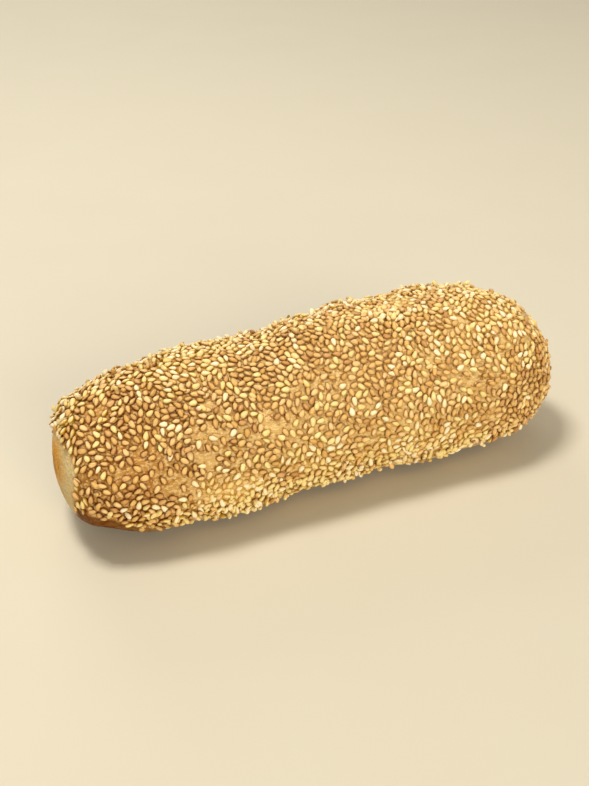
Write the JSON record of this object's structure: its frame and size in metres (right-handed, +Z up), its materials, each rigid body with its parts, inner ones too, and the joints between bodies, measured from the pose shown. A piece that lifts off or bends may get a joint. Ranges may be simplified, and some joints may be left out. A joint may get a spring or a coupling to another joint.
{
  "type": "sesame bread roll",
  "caption": "Long bread roll, blunt and bare at one end and round at the other, coated in sesame seeds, with a flat baked base to rest on.",
  "frame": {"origin": "middle of the bounding box, on the flat base", "axes": "+X along the roll from its blunt bare end to its round end, +Y across it, +Z up"},
  "size_m": [0.1842, 0.0702, 0.0561],
  "materials": {
    "seeded_crust": "matt golden crust under a close coat of pale and toasted sesame seeds"
  },
  "bodies": {
    "root": {"seeded_roll": "seeded_crust"}
  },
  "joints": []
}
